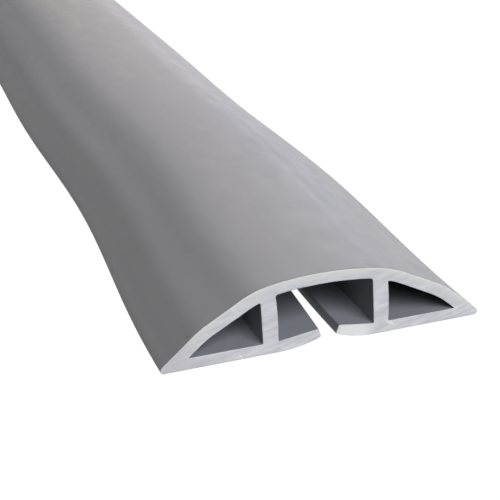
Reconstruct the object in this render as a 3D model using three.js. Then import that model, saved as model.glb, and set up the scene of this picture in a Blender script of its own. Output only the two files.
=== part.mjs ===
// Floor cord cover: one length of flexible PVC extrusion, in millimetres.
// X runs across the strip, Y along it and Z up from the floor. The freshly cut end is at -Y.
import * as THREE from "three";
import { mergeVertices } from "three/addons/utils/BufferGeometryUtils.js";

// Overall size
const LENGTH = 1524;
const WIDTH = 63.5;
const HEIGHT = 14.7;

// Domed top: a flat crown arc, a rounder shoulder on each side, a straight flank down to a soft knee,
// then a steeper foot down to the edge
const CROWN_WIDTH = 20.5;
const CROWN_RADIUS = 63;
const SHOULDER_RADIUS = 19.6;
const KNEE_WIDTH = 49;
const KNEE_HEIGHT = 7.4;
const KNEE_RADIUS = 18;
const EDGE_RADIUS = 0.75;

// Walls, and the middle channel between the two upright webs. The top is a little thinner over the channel.
const TOP_WALL = 2.45;
const CHANNEL_TOP_WALL = 2.2;
const BASE_WALL = 2.3;
const WEB_WALL = 3;
const CHANNEL_WIDTH = 19.05;
const CHANNEL_CORNER_RADIUS = 0.5;
const HOLLOW_CORNER_RADIUS = 0.25;

// Slit along the base, a little off the middle, between two lips that thin out and lift towards it.
// The lips' ends slant, so the slit is narrowest at the underside.
const SLIT_WIDTH = 1.5;
const SLIT_OFFSET = 1.05;
const LIP_WALL = 1.75;
const LIP_LIFT = 1.6;
const LIP_SLANT = 0.65;
const LIP_RADIUS = 0.3;

// The lip on the -X side has sprung back at the cut end, which opens the slit there
const SPRING_SIZE = 1.4;
const SPRING_REACH = 25;

// Sideways wave and lean that the strip keeps from the roll, strongest at the cut end and gone further along.
// The wave's first crest lies a little way in, and the lean is that of the crown towards -X.
const WAVE_SIZE = 1.52;
const WAVE_LENGTH = 147.4;
const WAVE_START = 7.5;
const LEAN_SIZE = 1.4;
const ROLL_REACH = 250;

const COLOUR = 0x8b8d93;
const ROUGHNESS = 0.45;

const CROWN_STEPS = 4;
const SHOULDER_STEPS = 6;
const KNEE_STEPS = 3;
const EDGE_STEPS = 5;
const CEILING_STEPS = 10;
const LIP_STEPS = 4;
const CORNER_STEPS = 3;
const SPRING_STEPS = 5;
const WAVE_STEPS = 18;

const halfChannel = CHANNEL_WIDTH / 2;
const hollowStart = halfChannel + WEB_WALL;
const slitLeft = SLIT_OFFSET - SLIT_WIDTH / 2;
const slitRight = SLIT_OFFSET + SLIT_WIDTH / 2;

// The top on the +X side, worked out from the crown's middle outwards. The -X side is its mirror image.
// Angles are those of the outward normal, in radians from +Z towards +X.
const normalAt = (angle) => new THREE.Vector2(Math.sin(angle), Math.cos(angle));
const crownAngle = Math.asin(CROWN_WIDTH / 2 / CROWN_RADIUS);
const crownCentre = new THREE.Vector2(0, HEIGHT - CROWN_RADIUS);
const shoulderDrop = normalAt(crownAngle).multiplyScalar(CROWN_RADIUS - SHOULDER_RADIUS);
const shoulderCentre = crownCentre.clone().add(shoulderDrop);
const knee = new THREE.Vector2(KNEE_WIDTH / 2, KNEE_HEIGHT);
const edgeCentre = new THREE.Vector2(WIDTH / 2 - EDGE_RADIUS, EDGE_RADIUS);
const flankAngle = touchingAngle(shoulderCentre, SHOULDER_RADIUS, knee, 0);
const footAngle = touchingAngle(knee, 0, edgeCentre, EDGE_RADIUS);
const kneeDepth = KNEE_RADIUS / Math.cos((footAngle - flankAngle) / 2);
const kneeCentre = knee.clone().addScaledVector(normalAt((flankAngle + footAngle) / 2), -kneeDepth);
const bends = [
  { centre: crownCentre, radius: CROWN_RADIUS, from: 0, to: crownAngle },
  { centre: shoulderCentre, radius: SHOULDER_RADIUS, from: crownAngle, to: flankAngle },
  { centre: kneeCentre, radius: KNEE_RADIUS, from: flankAngle, to: footAngle },
];

/** Angle of the straight that touches two circles from outside, where a radius of 0 is a point on it. */
function touchingAngle(inner, innerRadius, outer, outerRadius) {
  const span = outer.clone().sub(inner);
  return Math.atan2(span.x, span.y) - Math.acos((innerRadius - outerRadius) / span.length());
}

/** How far the straight that touches a bend at an angle lies from the origin, moved inwards by a wall. */
function reachOf(bend, angle, wall) {
  return normalAt(angle).dot(bend.centre) + bend.radius - wall;
}

/** Height of the top surface at x from the middle, moved inwards by a wall. */
function roof(x, wall) {
  const away = Math.abs(x);
  const straight = (bend, angle) => (reachOf(bend, angle, wall) - away * Math.sin(angle)) / Math.cos(angle);
  for (const bend of bends) {
    const radius = bend.radius - wall;
    if (away < bend.centre.x + radius * Math.sin(bend.from)) {
      return straight(bend, bend.from);
    }
    if (away <= bend.centre.x + radius * Math.sin(bend.to)) {
      return bend.centre.y + Math.sqrt(radius ** 2 - (away - bend.centre.x) ** 2);
    }
  }
  return straight(bends.at(-1), footAngle);
}

const ladder = (from, to, steps) =>
  Array.from({ length: steps + 1 }, (_, step) => THREE.MathUtils.lerp(from, to, step / steps));

/** Points of an arc about a centre, with angles in radians from +Z towards +X. */
function arc(centre, radius, from, to, steps) {
  return ladder(from, to, steps).map((angle) => centre.clone().addScaledVector(normalAt(angle), radius));
}

/** A corner rounded with an arc that touches the lines to its two neighbours. */
function roundCorner(before, corner, after, radius) {
  const back = before.clone().sub(corner);
  const ahead = after.clone().sub(corner);
  const half = Math.acos(back.dot(ahead) / back.length() / ahead.length()) / 2;
  const trim = Math.min(radius / Math.tan(half), 0.45 * Math.min(back.length(), ahead.length()));
  const first = corner.clone().addScaledVector(back.normalize(), trim);
  const last = corner.clone().addScaledVector(ahead.normalize(), trim);
  const bisector = back.add(ahead).normalize();
  const centre = corner.clone().addScaledVector(bisector, trim / Math.cos(half));
  const from = Math.atan2(first.x - centre.x, first.y - centre.y);
  const turn = Math.atan2(last.x - centre.x, last.y - centre.y) - from;
  const shortTurn = Math.atan2(Math.sin(turn), Math.cos(turn));
  return arc(centre, trim * Math.tan(half), from, from + shortTurn, CORNER_STEPS);
}

/** An outline through the given points, where a point with a radius is rounded. */
function outline(corners) {
  return corners.flatMap(({ point, radius }, index) => {
    if (!radius) {
      return [point];
    }
    const before = corners[(index + corners.length - 1) % corners.length].point;
    const after = corners[(index + 1) % corners.length].point;
    return roundCorner(before, point, after, radius);
  });
}

const corner = (x, z, radius = 0) => ({ point: new THREE.Vector2(x, z), radius });
const plain = (points) => points.map((point) => ({ point, radius: 0 }));
const mirrored = (corners) => corners.map(({ point, radius }) => corner(-point.x, point.y, radius)).reverse();

/** The outer surface on the +X side, from the flat base round the edge to the crown's middle. */
function outerSide() {
  const crown = arc(crownCentre, CROWN_RADIUS, 0, crownAngle, CROWN_STEPS);
  const shoulder = arc(shoulderCentre, SHOULDER_RADIUS, crownAngle, flankAngle, SHOULDER_STEPS);
  const bentKnee = arc(kneeCentre, KNEE_RADIUS, flankAngle, footAngle, KNEE_STEPS);
  const edge = arc(edgeCentre, EDGE_RADIUS, footAngle, Math.PI, EDGE_STEPS);
  return plain([...crown, ...shoulder.slice(1), ...bentKnee, ...edge].reverse());
}

/** One lip and the channel wall above it, from the flat base past the slit up to the channel's ceiling. */
function lipSide(side, slitX) {
  const foot = side * halfChannel;
  const underside = ladder(0, 1, LIP_STEPS).slice(0, -1).map((along) => (
    corner(THREE.MathUtils.lerp(foot, slitX, along), LIP_LIFT * along ** 2)
  ));
  return [
    ...underside,
    corner(slitX, LIP_LIFT, LIP_RADIUS),
    corner(slitX + side * LIP_SLANT, LIP_LIFT + LIP_WALL, LIP_RADIUS),
    corner(foot, BASE_WALL, HOLLOW_CORNER_RADIUS),
    corner(foot, roof(foot, CHANNEL_TOP_WALL), CHANNEL_CORNER_RADIUS),
  ];
}

/** Points of the ceiling a wall under the dome, between two places across and without its ends. */
function ceiling(from, to, wall) {
  return ladder(from, to, CEILING_STEPS).slice(1, -1).map((x) => corner(x, roof(x, wall)));
}

/** The closed hollow on the +X side: floor, ceiling under the dome, and web. */
function sideHollow() {
  const reach = reachOf(bends.at(-1), footAngle, TOP_WALL);
  const tip = (reach - BASE_WALL * Math.cos(footAngle)) / Math.sin(footAngle);
  return [
    corner(hollowStart, BASE_WALL, HOLLOW_CORNER_RADIUS),
    corner(tip, BASE_WALL),
    ...ceiling(tip, hollowStart, TOP_WALL),
    corner(hollowStart, roof(hollowStart, TOP_WALL), HOLLOW_CORNER_RADIUS),
  ];
}

/** The cover's section, with X across and Y up. The slit joins the channel to the outside. */
function section() {
  const right = outerSide();
  const shape = new THREE.Shape(outline([
    ...right,
    ...mirrored(right).slice(1),
    ...lipSide(-1, slitLeft),
    ...ceiling(-halfChannel, halfChannel, CHANNEL_TOP_WALL),
    ...lipSide(1, slitRight).reverse(),
  ]));
  shape.holes = [sideHollow(), mirrored(sideHollow())].map((hole) => new THREE.Path(outline(hole)));
  return shape;
}

/** How much of the roll's wave and lean is left at a distance from the cut end, from 1 down to 0. */
function rollLeft(distance) {
  return Math.cos(Math.PI / 2 * Math.min(distance / ROLL_REACH, 1)) ** 2;
}

/** Sideways place of the strip's middle, at a distance from the cut end. */
function sway(distance) {
  return -WAVE_SIZE * Math.cos(2 * Math.PI * (distance - WAVE_START) / WAVE_LENGTH) * rollLeft(distance);
}

/** How far a point of the section leans towards -X, most at the crown. */
function lean(z, distance) {
  return LEAN_SIZE * (z / HEIGHT) ** 3 * rollLeft(distance);
}

/** How far a point of the -X lip has sprung back towards -X, from nothing at the web to most at the slit. */
function spring(x, z, distance) {
  const onLip = x > -halfChannel && x < SLIT_OFFSET && z < HEIGHT / 2;
  const share = onLip ? (x + halfChannel) / (slitLeft + halfChannel) : 0;
  return SPRING_SIZE * share * Math.max(0, 1 - distance / SPRING_REACH) ** 2;
}

/** Distances from the cut end where the strip has a section, from the far end back to the cut end. */
function stations() {
  const sprung = ladder(0, SPRING_REACH, SPRING_STEPS);
  const waved = ladder(SPRING_REACH, ROLL_REACH, WAVE_STEPS);
  return [...sprung, ...waved.slice(1), LENGTH].reverse();
}

/** The strip: unit steps of extrusion, each laid at its station and bent there. */
function coverGeometry() {
  const places = stations();
  const sways = places.map(sway);
  const middle = (Math.min(...sways) + Math.max(...sways)) / 2;
  const steps = places.length - 1;
  const extruded = new THREE.ExtrudeGeometry(section(), { depth: steps, steps, bevelEnabled: false });
  extruded.deleteAttribute("normal");
  extruded.deleteAttribute("uv");
  extruded.clearGroups();
  const geometry = mergeVertices(extruded);
  const points = geometry.getAttribute("position");
  for (let index = 0; index < points.count; index += 1) {
    const x = points.getX(index);
    const z = points.getY(index);
    const step = Math.round(points.getZ(index));
    const distance = places[step];
    const across = x - lean(z, distance) - spring(x, z, distance) + sways[step] - middle;
    points.setXYZ(index, across, distance - LENGTH / 2, z);
  }
  geometry.computeVertexNormals();
  return geometry;
}

const material = new THREE.MeshStandardMaterial({ color: COLOUR, roughness: ROUGHNESS, metalness: 0 });
const cover = new THREE.Mesh(coverGeometry(), material);
cover.name = "cord_cover";

const part = new THREE.Group();
part.name = "floor_cord_cover";
part.add(cover);

export default part;
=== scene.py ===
"""A length of flexible grey PVC floor cord cover, dressed around its frame, on a white light table."""

import math

import bpy
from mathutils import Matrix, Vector, noise
from mathutils.geometry import delaunay_2d_cdt


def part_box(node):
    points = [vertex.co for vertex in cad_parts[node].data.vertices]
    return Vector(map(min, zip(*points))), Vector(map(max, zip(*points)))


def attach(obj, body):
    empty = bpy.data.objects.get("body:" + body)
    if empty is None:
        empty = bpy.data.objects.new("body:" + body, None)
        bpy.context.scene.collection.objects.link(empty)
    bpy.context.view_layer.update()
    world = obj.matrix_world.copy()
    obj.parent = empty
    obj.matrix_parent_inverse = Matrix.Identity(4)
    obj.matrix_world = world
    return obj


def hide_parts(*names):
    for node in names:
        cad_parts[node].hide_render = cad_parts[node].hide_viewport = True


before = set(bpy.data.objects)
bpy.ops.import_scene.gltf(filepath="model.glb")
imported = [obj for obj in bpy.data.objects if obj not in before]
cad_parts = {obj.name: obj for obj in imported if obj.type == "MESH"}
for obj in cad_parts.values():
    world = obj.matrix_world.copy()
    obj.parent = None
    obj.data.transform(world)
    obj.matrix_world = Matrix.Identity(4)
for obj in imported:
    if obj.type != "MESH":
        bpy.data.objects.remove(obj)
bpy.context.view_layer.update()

MM = 0.001

# The strip's box gives its length and height, and the section's other sizes are in mm
BOX_LOW, BOX_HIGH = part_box("cord_cover")
LENGTH = (BOX_HIGH[1] - BOX_LOW[1]) / MM
HEIGHT = BOX_HIGH[2] / MM
WIDTH = 63.5
CROWN_WIDTH = 20.5
CROWN_RADIUS = 63.0
SHOULDER_RADIUS = 19.6
KNEE_WIDTH = 49.0
KNEE_HEIGHT = 7.4
KNEE_RADIUS = 18.0
EDGE_RADIUS = 0.75
TOP_WALL = 2.45
CHANNEL_TOP_WALL = 2.2
BASE_WALL = 2.3
WEB_WALL = 3.0
CHANNEL_WIDTH = 19.05
CHANNEL_CORNER_RADIUS = 0.5
HOLLOW_CORNER_RADIUS = 0.25
SLIT_WIDTH = 1.5
SLIT_OFFSET = 1.05
LIP_WALL = 1.75
LIP_LIFT = 1.6
LIP_SLANT = 0.65
LIP_RADIUS = 0.3

# The -X lip has sprung back at the cut end
SPRING_SIZE = 1.4
SPRING_REACH = 25.0

# Sideways wave and lean left from the roll
WAVE_SIZE = 1.52
WAVE_LENGTH = 147.4
WAVE_START = 7.5
LEAN_SIZE = 1.4
ROLL_REACH = 250.0

# Steps of the visible skin round the section
CROWN_STEPS = 7
SHOULDER_STEPS = 10
FLANK_STEPS = 5
KNEE_STEPS = 4
FOOT_STEPS = 6
EDGE_STEPS = 8
CEILING_STEPS = 18
LIP_STEPS = 8
CORNER_STEPS = 5

# The most of a line that the rounding of its corner may take
CORNER_SHARE = 0.45

# Steps of the visible skin along the strip, in mm
END_STEP = 1.0
SPRING_STEP = 2.5
WAVE_STEP = 4.5
PLAIN_STEP = 21.0

# Grid on the cut faces: its step in mm, the share of a step that its points are shaken by,
# and how far they keep from the section's edge and from the rounded rim's last ring
CAP_STEP = 0.3
CAP_SHAKE = 0.3
GRID_CLEARANCE = 0.6 * CAP_STEP
RING_CLEARANCE = 0.4 * CAP_STEP

# Cut ends: a softened rim, crisper in the hollows, whose outermost part counts as cut
RIM_RADIUS = 0.16
HOLLOW_RIM_SHARE = 0.2
RIM_STATIONS = (0.0, 0.12, 0.35, 0.65, 1.0)
RIM_CUT_SHARE = 0.3

# The uneven cut: how deep, how far it fades along the strip, the sizes of its dents and knife steps,
# and how far apart the two ends lie in the noise, so that they aren't alike
CUT_DEPTH = 0.16
CUT_REACH = 6.0
DENT_WIDTH = 11
DENT_HEIGHT = 7
KNIFE_WIDTH = 2.3
KNIFE_HEIGHT = 3.1
KNIFE_LENGTH = 30
ENDS_APART = 9

# Slow unevenness of the drawn surface, always inwards so that the skin stays in the strip's box
DRAW_DEPTH = 0.03
DRAW_ACROSS = 9.0
DRAW_ALONG = 110.0

# How near a point counts as on a surface, what counts as facing down, and the step that tells a slope
ON_SURFACE = 0.01
FACING_DOWN = -0.9
SLOPE_STEP = 0.5

SHARP_ANGLE = math.radians(50)

HALF_CHANNEL = CHANNEL_WIDTH / 2
HOLLOW_START = HALF_CHANNEL + WEB_WALL
SLIT_LEFT = SLIT_OFFSET - SLIT_WIDTH / 2
SLIT_RIGHT = SLIT_OFFSET + SLIT_WIDTH / 2


def lerp(start, end, share):
    return start + (end - start) * share


def normal_at(angle):
    """The unit vector at an angle in radians from +Z towards +X."""
    return Vector((math.sin(angle), math.cos(angle)))


def touching_angle(inner, inner_radius, outer, outer_radius):
    """Angle of the straight that touches two circles from outside. A radius of 0 makes a point of one."""
    span = outer - inner
    return math.atan2(span.x, span.y) - math.acos((inner_radius - outer_radius) / span.length)


CROWN_ANGLE = math.asin(CROWN_WIDTH / 2 / CROWN_RADIUS)
CROWN_CENTRE = Vector((0.0, HEIGHT - CROWN_RADIUS))
SHOULDER_CENTRE = CROWN_CENTRE + (CROWN_RADIUS - SHOULDER_RADIUS) * normal_at(CROWN_ANGLE)
KNEE = Vector((KNEE_WIDTH / 2, KNEE_HEIGHT))
EDGE_CENTRE = Vector((WIDTH / 2 - EDGE_RADIUS, EDGE_RADIUS))
FLANK_ANGLE = touching_angle(SHOULDER_CENTRE, SHOULDER_RADIUS, KNEE, 0.0)
FOOT_ANGLE = touching_angle(KNEE, 0.0, EDGE_CENTRE, EDGE_RADIUS)
KNEE_DEPTH = KNEE_RADIUS / math.cos((FOOT_ANGLE - FLANK_ANGLE) / 2)
KNEE_CENTRE = KNEE - KNEE_DEPTH * normal_at((FLANK_ANGLE + FOOT_ANGLE) / 2)
BENDS = (
    (CROWN_CENTRE, CROWN_RADIUS, 0.0, CROWN_ANGLE),
    (SHOULDER_CENTRE, SHOULDER_RADIUS, CROWN_ANGLE, FLANK_ANGLE),
    (KNEE_CENTRE, KNEE_RADIUS, FLANK_ANGLE, FOOT_ANGLE),
)


def on_straight(x, centre, radius, angle):
    """Height at x of the straight that touches a circle at an angle."""
    reach = normal_at(angle).dot(centre) + radius
    return (reach - x * math.sin(angle)) / math.cos(angle)


def roof(x, wall):
    """Height of the top surface at x from the middle, moved inwards by a wall."""
    away = abs(x)
    for centre, radius, start, end in BENDS:
        if away < centre.x + (radius - wall) * math.sin(start):
            return on_straight(away, centre, radius - wall, start)
        if away <= centre.x + (radius - wall) * math.sin(end):
            return centre.y + math.sqrt((radius - wall) ** 2 - (away - centre.x) ** 2)
    return on_straight(away, KNEE_CENTRE, KNEE_RADIUS - wall, FOOT_ANGLE)


def arc(centre, radius, start, end, steps):
    """Points of an arc, with angles in radians from +Z towards +X."""
    return [centre + radius * normal_at(lerp(start, end, step / steps)) for step in range(steps + 1)]


def straight(start, end, steps):
    """Points between two ends, without the ends."""
    return [start.lerp(end, step / steps) for step in range(1, steps)]


def round_corner(before, corner, after, radius):
    """A corner rounded with an arc that touches the lines to its two neighbours."""
    back = before - corner
    ahead = after - corner
    half = back.angle(ahead) / 2
    trim = min(radius / math.tan(half), CORNER_SHARE * min(back.length, ahead.length))
    first = corner + back.normalized() * trim
    last = corner + ahead.normalized() * trim
    centre = corner + (back.normalized() + ahead.normalized()).normalized() * (trim / math.cos(half))
    start = math.atan2(first.x - centre.x, first.y - centre.y)
    turn = math.atan2(last.x - centre.x, last.y - centre.y) - start
    turn = math.atan2(math.sin(turn), math.cos(turn))
    return arc(centre, trim * math.tan(half), start, start + turn, CORNER_STEPS)


def outline(corners):
    """A loop through (x, z, radius) corners, where a corner with a radius is rounded."""
    loop = []
    for index, (x, z, radius) in enumerate(corners):
        corner = Vector((x, z))
        if radius:
            before = Vector(corners[index - 1][:2])
            after = Vector(corners[(index + 1) % len(corners)][:2])
            loop += round_corner(before, corner, after, radius)
        else:
            loop.append(corner)
    return loop


def mirrored(corners):
    return [(-x, z, radius) for x, z, radius in reversed(corners)]


def plain(points):
    return [(point.x, point.y, 0.0) for point in points]


def outer_side():
    """The outer surface on the +X side, from the flat base round the edge to the crown's middle."""
    crown = arc(CROWN_CENTRE, CROWN_RADIUS, 0.0, CROWN_ANGLE, CROWN_STEPS)
    shoulder = arc(SHOULDER_CENTRE, SHOULDER_RADIUS, CROWN_ANGLE, FLANK_ANGLE, SHOULDER_STEPS)
    knee = arc(KNEE_CENTRE, KNEE_RADIUS, FLANK_ANGLE, FOOT_ANGLE, KNEE_STEPS)
    edge = arc(EDGE_CENTRE, EDGE_RADIUS, FOOT_ANGLE, math.pi, EDGE_STEPS)
    flank = straight(shoulder[-1], knee[0], FLANK_STEPS)
    foot = straight(knee[-1], edge[0], FOOT_STEPS)
    return plain(reversed(crown + shoulder[1:] + flank + knee + foot + edge))


def lip_side(side, slit_x):
    """One lip and the channel wall above it, from the flat base past the slit to the channel's ceiling."""
    foot = side * HALF_CHANNEL
    shares = [step / LIP_STEPS for step in range(LIP_STEPS)]
    underside = [(lerp(foot, slit_x, share), LIP_LIFT * share ** 2, 0.0) for share in shares]
    return underside + [
        (slit_x, LIP_LIFT, LIP_RADIUS),
        (slit_x + side * LIP_SLANT, LIP_LIFT + LIP_WALL, LIP_RADIUS),
        (foot, BASE_WALL, HOLLOW_CORNER_RADIUS),
        (foot, roof(foot, CHANNEL_TOP_WALL), CHANNEL_CORNER_RADIUS),
    ]


def ceiling(start, end, wall):
    """Corners of the ceiling a wall under the dome, between two places across and without its ends."""
    across = [lerp(start, end, step / CEILING_STEPS) for step in range(1, CEILING_STEPS)]
    return [(x, roof(x, wall), 0.0) for x in across]


def side_hollow():
    """The closed hollow on the +X side: floor, ceiling under the dome, and web."""
    reach = normal_at(FOOT_ANGLE).dot(KNEE_CENTRE) + KNEE_RADIUS - TOP_WALL
    tip = (reach - BASE_WALL * math.cos(FOOT_ANGLE)) / math.sin(FOOT_ANGLE)
    return [
        (HOLLOW_START, BASE_WALL, HOLLOW_CORNER_RADIUS),
        (tip, BASE_WALL, 0.0),
        *ceiling(tip, HOLLOW_START, TOP_WALL),
        (HOLLOW_START, roof(HOLLOW_START, TOP_WALL), HOLLOW_CORNER_RADIUS),
    ]


def section_loops():
    """The outer loop, which takes in the channel and the slit, and the loops of the two side hollows."""
    right = outer_side()
    outer = [
        *right,
        *mirrored(right)[1:],
        *lip_side(-1, SLIT_LEFT),
        *ceiling(-HALF_CHANNEL, HALF_CHANNEL, CHANNEL_TOP_WALL),
        *reversed(lip_side(1, SLIT_RIGHT)),
    ]
    hollow = side_hollow()
    return [outline(outer), outline(hollow), outline(mirrored(hollow))]


def normals_of(loop, turn):
    """Unit normals out of the plastic, where turn is 1 on the outer loop and -1 on a hollow's."""
    result = []
    for index, _ in enumerate(loop):
        along = loop[(index + 1) % len(loop)] - loop[index - 1]
        result.append(turn * Vector((along.y, -along.x)).normalized())
    return result


def roll_left(distance):
    """How much of the roll's wave and lean is left at a distance from the cut end, from 1 down to 0."""
    return math.cos(math.pi / 2 * min(distance / ROLL_REACH, 1.0)) ** 2


def sway(distance):
    """Sideways place of the strip's middle, at a distance from the cut end."""
    turn = 2 * math.pi * (distance - WAVE_START) / WAVE_LENGTH
    return -WAVE_SIZE * math.cos(turn) * roll_left(distance)


SWAYS = [sway(step) for step in range(int(ROLL_REACH) + 1)]
SWAY_MIDDLE = (min(SWAYS) + max(SWAYS)) / 2


def lean(z, distance):
    """How far a point of the section leans towards -X, most at the crown."""
    return LEAN_SIZE * (z / HEIGHT) ** 3 * roll_left(distance)


def spring(x, z, distance):
    """How far a point of the -X lip has sprung back, from nothing at the web to most at the slit."""
    if not -HALF_CHANNEL < x < SLIT_OFFSET or z > HEIGHT / 2:
        return 0.0
    share = (x + HALF_CHANNEL) / (SLIT_LEFT + HALF_CHANNEL)
    return SPRING_SIZE * share * max(0.0, 1 - distance / SPRING_REACH) ** 2


def stations():
    """Distances from the cut end with a ring of the skin, closest at the rims and in the wave."""
    near_end = [RIM_RADIUS * share for share in RIM_STATIONS] + [END_STEP]
    far_end = [LENGTH - place for place in reversed(near_end)]
    sprung = [SPRING_STEP * step for step in range(1, int(SPRING_REACH / SPRING_STEP))]
    wave_count = int((ROLL_REACH - SPRING_REACH) / WAVE_STEP)
    waved = [lerp(SPRING_REACH, ROLL_REACH, step / wave_count) for step in range(wave_count)]
    plain_count = math.ceil((LENGTH - ROLL_REACH) / PLAIN_STEP)
    straightened = [lerp(ROLL_REACH, LENGTH, step / plain_count) for step in range(plain_count)]
    return near_end + sprung + waved + straightened + far_end


def rim_inset(distance):
    """How far the rim's rounding draws the skin in, near either cut end."""
    from_end = min(distance, LENGTH - distance)
    if from_end >= RIM_RADIUS:
        return 0.0
    return RIM_RADIUS - math.sqrt(RIM_RADIUS ** 2 - (RIM_RADIUS - from_end) ** 2)


def cut_depth(x, z, end):
    """How far the uneven cut lies inside the strip's nominal end, with end 0 near and 1 far."""
    apart = ENDS_APART * end
    dents = noise.noise(Vector((x / DENT_WIDTH, z / DENT_HEIGHT, 5.0 + apart)))
    slanted = (x / KNIFE_WIDTH - z / KNIFE_HEIGHT, (x + 4 * z) / KNIFE_LENGTH, 2.0 + apart)
    steps = noise.noise(Vector(slanted))
    return CUT_DEPTH * (0.5 + 0.4 * dents + 0.1 * steps)


def drawn_inset(x, z, distance):
    """Slow unevenness of the drawn surface."""
    wave = noise.noise(Vector((x / DRAW_ACROSS, distance / DRAW_ALONG, z / DRAW_ACROSS)))
    return DRAW_DEPTH * (0.5 - 0.5 * wave)


def laid(x, z, distance):
    """A point of the section laid at its station, in metres, with the cut's unevenness near the ends."""
    near = max(0.0, 1 - distance / CUT_REACH)
    far = max(0.0, 1 - (LENGTH - distance) / CUT_REACH)
    shift = near ** 2 * cut_depth(x, z, 0) - far ** 2 * cut_depth(x, z, 1)
    across = x - lean(z, distance) - spring(x, z, distance) + sway(distance) - SWAY_MIDDLE
    return (across * MM, (distance + shift - LENGTH / 2) * MM, z * MM)


def inside(point, loops):
    """Whether a point of the section lies in the plastic."""
    crossings = 0
    for loop in loops:
        for index, here in enumerate(loop):
            before = loop[index - 1]
            if (here.y > point.y) != (before.y > point.y):
                if point.x < here.x + (before.x - here.x) * (point.y - here.y) / (before.y - here.y):
                    crossings += 1
    return crossings % 2 == 1


def on_outside(point):
    """Whether a point of a loop lies on the dome or the base, and not in the channel or a hollow."""
    return point.y < ON_SURFACE or roof(point.x, 0.0) - point.y < ON_SURFACE


def under_dome(x, z):
    """Depth of a point under the dome, measured square to it as far as one step sideways tells."""
    top = roof(abs(x), 0.0)
    slope = (top - roof(abs(x) + SLOPE_STEP, 0.0)) / SLOPE_STEP
    return max(0.0, top - z) / math.hypot(1.0, slope)


def rim_distance(point, loops):
    """Distance from a point to the section's nearest edge point."""
    return min((point - corner).length for loop in loops for corner in loop)


def cap_points(loops):
    """Points in the plastic of a cut end, on a slightly shaken grid that keeps clear of the rim."""
    points = []
    rows = int(HEIGHT / CAP_STEP)
    columns = int(WIDTH / CAP_STEP)
    for row in range(1, rows):
        for column in range(1, columns):
            seed = Vector((column * 0.37, row * 0.61, 3.0))
            shake_x = CAP_SHAKE * noise.noise(seed)
            shake_z = CAP_SHAKE * noise.noise(seed + Vector((7.0, 0.0, 0.0)))
            x = (column + 0.5 * (row % 2) + shake_x) * CAP_STEP - WIDTH / 2
            z = (row + shake_z) * CAP_STEP
            point = Vector((x, z))
            if inside(point, loops) and rim_distance(point, loops) > GRID_CLEARANCE:
                points.append(point)
    return points


class Skin:
    """The visible mesh while it is built: points with rest places and depths, and faces, cut or not."""

    def __init__(self):
        self.points = []
        self.places = []
        self.depths = []
        self.faces = []
        self.cut = []

    def add_point(self, x, z, distance):
        self.points.append(laid(x, z, distance))
        self.places.append((x * MM, distance * MM, z * MM))
        self.depths.append(under_dome(x, z))
        return len(self.points) - 1

    def add_face(self, corners, cut):
        self.faces.append(corners)
        self.cut.append(cut)


def drawn_in(point, normal, distance):
    """A loop's point moved in by the rim's rounding and the drawn unevenness. The flat base stays level."""
    rounding = rim_inset(distance) * (1.0 if on_outside(point) else HOLLOW_RIM_SHARE)
    on_base = point.y < ON_SURFACE and normal.y < FACING_DOWN
    if on_base and not rounding:
        return point
    unevenness = drawn_inset(point.x, point.y, distance) * min(1.0, distance / CUT_REACH)
    return point - normal * (rounding + unevenness)


def add_wall(skin, loop, turn, places):
    """The wall of one loop along the whole strip. Returns the rings of points at the two cut ends."""
    outward = normals_of(loop, turn)
    rings = []
    for distance in places:
        ring = []
        for point, normal in zip(loop, outward):
            moved = drawn_in(point, normal, distance)
            ring.append(skin.add_point(moved.x, moved.y, distance))
        rings.append(ring)
    for index in range(len(rings) - 1):
        here, ahead = rings[index], rings[index + 1]
        from_end = min(places[index], LENGTH - places[index + 1])
        for step, _ in enumerate(loop):
            quad = (here[step - 1], ahead[step - 1], ahead[step], here[step])
            skin.add_face(quad if turn > 0 else quad[::-1], from_end < RIM_CUT_SHARE * RIM_RADIUS)
    return rings[0], rings[-1]


def add_cap(skin, rings, distance, facing, inner_points):
    """The face of a cut end, joined to the walls' rings there. facing is 1 near and -1 far."""
    known = [index for ring in rings for index in ring]
    flat = [Vector((skin.places[index][0] / MM, skin.places[index][2] / MM)) for index in known]
    loops = []
    edges = []
    start = 0
    for ring in rings:
        size = len(ring)
        loops.append(flat[start:start + size])
        edges += [(start + step, start + (step + 1) % size) for step in range(size)]
        start += size
    inner = [point for point in inner_points if rim_distance(point, loops) > RING_CLEARANCE]
    known += [skin.add_point(point.x, point.y, distance) for point in inner]
    corners, _, triangles, origins, _, _ = delaunay_2d_cdt(flat + inner, edges, [], 0, 1e-6)
    for triangle in triangles:
        first, second, third = (corners[index] for index in triangle)
        middle = (first + second + third) / 3
        if inside(middle, loops):
            face = tuple(known[origins[index][0]] for index in triangle)
            turned = (second - first).cross(third - first) * facing < 0
            skin.add_face(face[::-1] if turned else face, True)


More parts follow.
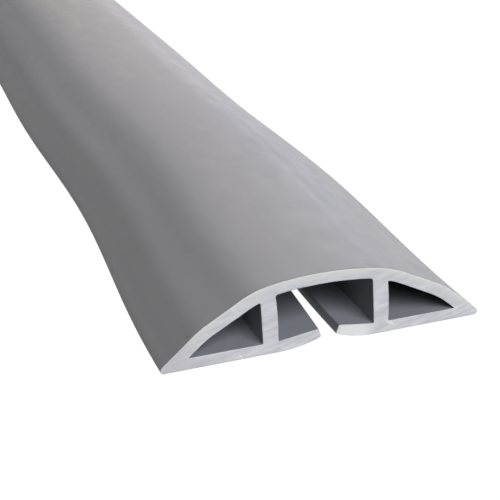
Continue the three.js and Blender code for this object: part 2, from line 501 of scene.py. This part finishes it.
def build_skin(surface, cut_face):
    """The strip as one closed mesh, with the plain surface in slot 0 and the cut faces in slot 1."""
    loops = section_loops()
    places = stations()
    skin = Skin()
    ends = [add_wall(skin, loop, 1 if index == 0 else -1, places) for index, loop in enumerate(loops)]
    inner = cap_points(loops)
    add_cap(skin, [near for near, _ in ends], 0.0, 1, inner)
    add_cap(skin, [far for _, far in ends], LENGTH, -1, inner)

    mesh = bpy.data.meshes.new("cord_cover_skin")
    mesh.from_pydata(skin.points, [], skin.faces)
    mesh.materials.append(surface)
    mesh.materials.append(cut_face)
    mesh.polygons.foreach_set("material_index", [int(cut) for cut in skin.cut])
    mesh.polygons.foreach_set("use_smooth", [True] * len(skin.faces))
    place = mesh.attributes.new("rest_place", "FLOAT_VECTOR", "POINT")
    place.data.foreach_set("vector", [value for point in skin.places for value in point])
    depth = mesh.attributes.new("depth", "FLOAT", "POINT")
    depth.data.foreach_set("value", skin.depths)
    mesh.set_sharp_from_angle(angle=SHARP_ANGLE)
    mesh.update()
    piece = bpy.data.objects.new("cord_cover_skin", mesh)
    bpy.context.collection.objects.link(piece)
    return piece


# The colour sockets of a mix node, which has one set for each type of data
MIX_FIRST = 6
MIX_SECOND = 7
MIX_RESULT = 2


class Nodes:
    """A material's node tree, with short calls to add and join nodes."""

    def __init__(self, name):
        self.material = bpy.data.materials.new(name)
        self.material.use_nodes = True
        self.tree = self.material.node_tree
        self.shader = self.tree.nodes["Principled BSDF"]

    def add(self, kind, **values):
        node = self.tree.nodes.new(kind)
        for name, value in values.items():
            setattr(node, name, value)
        return node

    def join(self, output, socket):
        self.tree.links.new(output, socket)

    def times(self, first, second):
        return self.math("MULTIPLY", first, second)

    def math(self, operation, first, second):
        node = self.add("ShaderNodeMath", operation=operation)
        for socket, value in zip(node.inputs, (first, second)):
            if isinstance(value, (int, float)):
                socket.default_value = value
            else:
                self.join(value, socket)
        return node.outputs[0]

    def attribute(self, name):
        return self.add("ShaderNodeAttribute", attribute_name=name)

    def noise(self, vector, cell, detail=3.0, roughness=0.5, distortion=0.0):
        """Noise whose cells have the given size in mm along X, Y and Z."""
        mapping = self.add("ShaderNodeMapping")
        mapping.inputs["Scale"].default_value = [1 / (size * MM) for size in cell]
        self.join(vector, mapping.inputs["Vector"])
        node = self.add("ShaderNodeTexNoise")
        node.inputs["Scale"].default_value = 1.0
        node.inputs["Detail"].default_value = detail
        node.inputs["Roughness"].default_value = roughness
        node.inputs["Distortion"].default_value = distortion
        self.join(mapping.outputs["Vector"], node.inputs["Vector"])
        return node.outputs["Fac"]

    def turned(self, vector, degrees):
        """A place turned about the strip's length."""
        node = self.add("ShaderNodeMapping")
        node.inputs["Rotation"].default_value = (0.0, math.radians(degrees), 0.0)
        self.join(vector, node.inputs["Vector"])
        return node.outputs["Vector"]

    def span(self, value, low, high, start=0.0, end=1.0):
        """Maps low..high to start..end, held at the ends."""
        node = self.add("ShaderNodeMapRange")
        node.inputs["From Min"].default_value = low
        node.inputs["From Max"].default_value = high
        node.inputs["To Min"].default_value = start
        node.inputs["To Max"].default_value = end
        self.join(value, node.inputs["Value"])
        return node.outputs["Result"]

    def between(self, place, stretch, start=0.0, end=1.0):
        """Maps a stretch in mm to start..end, held at the ends."""
        low, high = stretch
        return self.span(place, low * MM, high * MM, start, end)

    def mix(self, share, first, second):
        """Mixes two colours, each a tuple or a node's output."""
        node = self.add("ShaderNodeMix", data_type="RGBA")
        self.join(share, node.inputs["Factor"])
        for index, value in ((MIX_FIRST, first), (MIX_SECOND, second)):
            if isinstance(value, tuple):
                node.inputs[index].default_value = (*value, 1.0)
            else:
                self.join(value, node.inputs[index])
        return node.outputs[MIX_RESULT]

    def bump(self, height, distance_mm, strength, normal=None):
        node = self.add("ShaderNodeBump")
        node.inputs["Strength"].default_value = strength
        node.inputs["Distance"].default_value = distance_mm * MM
        self.join(height, node.inputs["Height"])
        if normal is not None:
            self.join(normal, node.inputs["Normal"])
        return node.outputs["Normal"]


# Colours and gloss of the drawn surface
DRAWN_COOL = (0.208, 0.208, 0.220)
DRAWN_WARM = (0.245, 0.235, 0.233)
DRAWN_STREAK = (0.282, 0.277, 0.284)
DRAWN_MOTTLE = (0.190, 0.189, 0.198)
DRAWN_SPECK = (0.07, 0.068, 0.066)
# Painted light for the inside and the base
DRAWN_INSIDE_PAINTED_LIGHT = (0.258, 0.259, 0.290)
DRAWN_ROUGHNESS = (0.42, 0.55)
DRAWN_SPECULAR = 0.32

# Distance in mm between the points that specks lie round, and a speck's core and edge as shares of it
SPECK_SPACING = 16
SPECK_CORE = 0.010
SPECK_EDGE = 0.022


def surface_material():
    """Drawn PVC: satin grey with soft streaks along it, faint mottling, rare specks and fine grain."""
    nodes = Nodes("grey_pvc_surface")
    place = nodes.attribute("rest_place").outputs["Vector"]
    streaks = nodes.noise(place, cell=(2.6, 420, 2.6), detail=4.0)
    wide = nodes.noise(place, cell=(14, 130, 14), detail=2.0)
    mottle = nodes.noise(place, cell=(5, 7, 5), detail=5.0, roughness=0.6)
    grain = nodes.noise(place, cell=(0.22, 0.3, 0.22), detail=2.0)
    lines = nodes.noise(place, cell=(0.5, 260, 0.5), detail=2.0)

    colour = nodes.mix(nodes.span(wide, 0.3, 0.7), DRAWN_COOL, DRAWN_WARM)
    colour = nodes.mix(nodes.span(streaks, 0.35, 0.75, 0.0, 0.3), colour, DRAWN_STREAK)
    colour = nodes.mix(nodes.span(mottle, 0.35, 0.8, 0.0, 0.2), colour, DRAWN_MOTTLE)

    cells = nodes.add("ShaderNodeTexVoronoi")
    cells.inputs["Scale"].default_value = 1 / (SPECK_SPACING * MM)
    nodes.join(place, cells.inputs["Vector"])
    speck = nodes.span(cells.outputs["Distance"], SPECK_CORE, SPECK_EDGE, 0.55, 0.0)
    colour = nodes.mix(speck, colour, DRAWN_SPECK)

    # Painted light: the inside and the base are a little lighter and bluer than the dome, to brighten the
    # floors of the hollows and the channel
    depth = nodes.attribute("depth").outputs["Fac"]
    colour = nodes.mix(nodes.span(depth, 1.0, 2.0, 0.0, 0.85), colour, DRAWN_INSIDE_PAINTED_LIGHT)
    nodes.join(colour, nodes.shader.inputs["Base Color"])

    rough = nodes.span(nodes.math("ADD", streaks, mottle), 0.7, 1.3, *DRAWN_ROUGHNESS)
    nodes.join(rough, nodes.shader.inputs["Roughness"])
    normal = nodes.bump(lines, distance_mm=0.02, strength=0.35)
    normal = nodes.bump(grain, distance_mm=0.012, strength=0.5, normal=normal)
    nodes.join(normal, nodes.shader.inputs["Normal"])
    nodes.shader.inputs["Specular IOR Level"].default_value = DRAWN_SPECULAR
    return nodes.material


# Colours and gloss of the cut faces
CUT_SHADE = (0.585, 0.57, 0.60)
# Painted shade for the -X tip of the cut faces
CUT_TIP_SHADE = (0.60, 0.58, 0.59)
CUT_CREAM = (0.82, 0.80, 0.735)
CUT_TONE = (0.83, 0.81, 0.83)
CUT_WHITE = (0.87, 0.855, 0.84)
CUT_STROKE = (0.95, 0.935, 0.91)
CUT_ROUGHNESS = (0.55, 0.78)

# Slant of the knife's smears and of the white strokes, in degrees about the strip's length
SMEAR_SLANT = 14
STROKE_SLANT = -42

# Where these fade on a cut face, in mm up or across: the strokes, the painted shade on the -X tip and the
# white +X lip
STROKE_TOP = (2.0, 3.0)
SHADED_TIP = (-29, -23)
LIP_START = (1.0, 3.0)
LIP_END = (7.5, 10.5)
LIP_TOP = (2.8, 3.8)


def cut_material():
    """Freshly cut PVC: pale and dull, with smears, whitened patches, a pale rim and knife strokes."""
    nodes = Nodes("grey_pvc_cut")
    place = nodes.attribute("rest_place").outputs["Vector"]
    depth = nodes.attribute("depth").outputs["Fac"]
    parts = nodes.add("ShaderNodeSeparateXYZ")
    nodes.join(place, parts.inputs[0])
    across, _, height = parts.outputs
    slanted = nodes.turned(place, SMEAR_SLANT)
    smears = nodes.noise(slanted, cell=(9, 3, 1.1), detail=4.0, roughness=0.6, distortion=0.4)
    patches = nodes.noise(place, cell=(4.0, 3, 2.2), detail=4.0, distortion=0.8)
    knife = nodes.noise(slanted, cell=(14, 3, 0.22), detail=3.0, roughness=0.7)
    strokes = nodes.noise(nodes.turned(place, STROKE_SLANT), cell=(5.5, 3, 0.8), detail=1.0)
    breaks = nodes.noise(place, cell=(6.0, 3, 6.0), detail=3.0)
    grain = nodes.noise(place, cell=(0.3, 0.3, 0.3), detail=3.0)

    colour = nodes.mix(nodes.span(smears, 0.3, 0.72), CUT_SHADE, CUT_TONE)
    colour = nodes.mix(nodes.span(patches, 0.5, 0.72, 0.0, 0.5), colour, CUT_WHITE)
    colour = nodes.mix(nodes.span(knife, 0.62, 0.78, 0.0, 0.35), colour, CUT_WHITE)
    on_base = nodes.between(height, STROKE_TOP, 0.8, 0.0)
    stroke = nodes.times(nodes.span(strokes, 0.685, 0.72), on_base)
    colour = nodes.mix(stroke, colour, CUT_STROKE)
    near_edge = nodes.span(depth, 0.3, 1.5, 1.0, 0.0)
    pale_edge = nodes.times(near_edge, nodes.span(breaks, 0.35, 0.6, 0.2, 0.85))
    colour = nodes.mix(pale_edge, colour, CUT_CREAM)

    # Painted shade darkens the -X tip, and the +X lip has gone white where the cut bent it
    painted_tip_shade = nodes.between(across, SHADED_TIP, 0.7, 0.0)
    colour = nodes.mix(painted_tip_shade, colour, CUT_TIP_SHADE)
    on_lip = nodes.times(nodes.between(across, LIP_START), nodes.between(across, LIP_END, 1.0, 0.0))
    white_lip = nodes.times(on_lip, nodes.between(height, LIP_TOP, 1.0, 0.0))
    colour = nodes.mix(nodes.times(white_lip, 0.9), colour, CUT_STROKE)
    nodes.join(colour, nodes.shader.inputs["Base Color"])

    rough = nodes.span(smears, 0.3, 0.75, *CUT_ROUGHNESS)
    nodes.join(rough, nodes.shader.inputs["Roughness"])
    normal = nodes.bump(knife, distance_mm=0.05, strength=0.6)
    normal = nodes.bump(grain, distance_mm=0.03, strength=0.4, normal=normal)
    nodes.join(normal, nodes.shader.inputs["Normal"])
    return nodes.material


# The floor's two trays: half their width, which is also their height, in metres, and their dark surface
TRAY_REACH = 30.0
TRAY_COLOUR = (0.02, 0.02, 0.02)
TRAY_ROUGHNESS = 0.9

# How far the trays lie under the strip
TABLE_DROP = 0.1 * MM
SHEET_DROP = 0.3 * MM


def add_tray(name, drop, glow):
    """A wide dark sheet with walls, lying a drop under the strip, with a glow of the given strength."""
    far = TRAY_REACH
    low = [(-far, -far, -drop), (far, -far, -drop), (far, far, -drop), (-far, far, -drop)]
    high = [(x, y, far) for x, y, _ in low]
    walls = [(side, (side + 1) % 4, (side + 1) % 4 + 4, side + 4) for side in range(4)]
    mesh = bpy.data.meshes.new(name)
    mesh.from_pydata(low + high, [], [(0, 1, 2, 3), *walls])
    nodes = Nodes(name)
    nodes.shader.inputs["Base Color"].default_value = (*TRAY_COLOUR, 1.0)
    nodes.shader.inputs["Roughness"].default_value = TRAY_ROUGHNESS
    nodes.shader.inputs["Emission Color"].default_value = (1.0, 1.0, 1.0, 1.0)
    nodes.shader.inputs["Emission Strength"].default_value = glow
    mesh.materials.append(nodes.material)
    sheet = bpy.data.objects.new(name, mesh)
    bpy.context.collection.objects.link(sheet)
    return sheet


def add_floor():
    """A white light table, seen and mirrored but shedding no light, over a dark sheet that lets none up."""
    table = add_tray("light_table", TABLE_DROP, 1.0)
    table.visible_diffuse = False
    table.visible_shadow = False
    sheet = add_tray("dark_sheet", SHEET_DROP, 0.0)
    sheet.visible_camera = False
    sheet.visible_shadow = False


# Studio lights: name, direction from the cut end, size in metres, power in watts and colour
LIGHT_DISTANCE = 2.4
LIGHTS = (
    ("front", (0.16, -0.72, 0.66), (2.2, 1.5), 67.5, (0.93, 0.96, 1.0)),
    ("side", (0.70, 0.60, 0.35), (2.2, 1.5), 17.0, (0.67, 0.82, 1.0)),
    ("back", (0.06, 0.86, 0.80), (2.6, 1.2), 20.0, (1.0, 0.98, 0.97)),
    ("back_right", (0.50, 0.80, 0.26), (2.2, 1.5), 15.0, (1.0, 0.84, 0.80)),
    ("overhead", (-0.1, 0.3, 1.0), (3.0, 3.0), 2.5, (1.0, 1.0, 1.0)),
)
WORLD_COLOUR = (0.92, 0.95, 1.0)
WORLD_STRENGTH = 0.02


def add_area_light(name, place, target, size, power, colour):
    light = bpy.data.lights.new(name, "AREA")
    light.shape = "RECTANGLE"
    light.size, light.size_y = size
    light.energy = power
    light.color = colour
    lamp = bpy.data.objects.new(name, light)
    lamp.location = place
    lamp.rotation_euler = (target - place).to_track_quat("-Z", "Y").to_euler()
    lamp.visible_camera = False
    bpy.context.collection.objects.link(lamp)


def add_lights():
    cut_end = Vector((0.0, BOX_LOW[1], 0.0))
    for name, towards, size, power, colour in LIGHTS:
        place = cut_end + LIGHT_DISTANCE * Vector(towards).normalized()
        add_area_light(name, place, cut_end, size, power, colour)


def add_world():
    world = bpy.data.worlds.new("studio")
    world.use_nodes = True
    background = world.node_tree.nodes["Background"]
    background.inputs["Color"].default_value = (*WORLD_COLOUR, 1.0)
    background.inputs["Strength"].default_value = WORLD_STRENGTH
    bpy.context.scene.world = world


# The camera, worked out from the photograph: its place from the middle of the cut end's base, in mm,
# its angles, its focal length and picture width in pixels, its sensor in mm and its nearest sight in metres
CAMERA_PLACE = Vector((-74.8, -158.9, 101.5))
CAMERA_DOWN = math.radians(25.24)
CAMERA_YAW = math.radians(20.6)
CAMERA_FOCAL = 1097.1
PICTURE_WIDTH = 500
SENSOR = 36.0
CAMERA_NEAR = 0.01


def add_camera():
    data = bpy.data.cameras.new("camera")
    data.sensor_width = SENSOR
    data.lens = CAMERA_FOCAL / PICTURE_WIDTH * SENSOR
    data.clip_start = CAMERA_NEAR
    camera = bpy.data.objects.new("camera", data)
    cut_middle = Vector((sway(0) - SWAY_MIDDLE, -LENGTH / 2, 0.0))
    camera.location = (cut_middle + CAMERA_PLACE) * MM
    level = math.cos(CAMERA_DOWN)
    ahead = Vector((math.sin(CAMERA_YAW) * level, math.cos(CAMERA_YAW) * level, -math.sin(CAMERA_DOWN)))
    camera.rotation_euler = ahead.to_track_quat("-Z", "Y").to_euler()
    bpy.context.collection.objects.link(camera)
    bpy.context.scene.camera = camera


add_camera()
cover = build_skin(surface_material(), cut_material())
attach(cover, "root")
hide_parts("cord_cover")

add_floor()
add_world()
add_lights()
bpy.context.scene.view_settings.view_transform = "Standard"
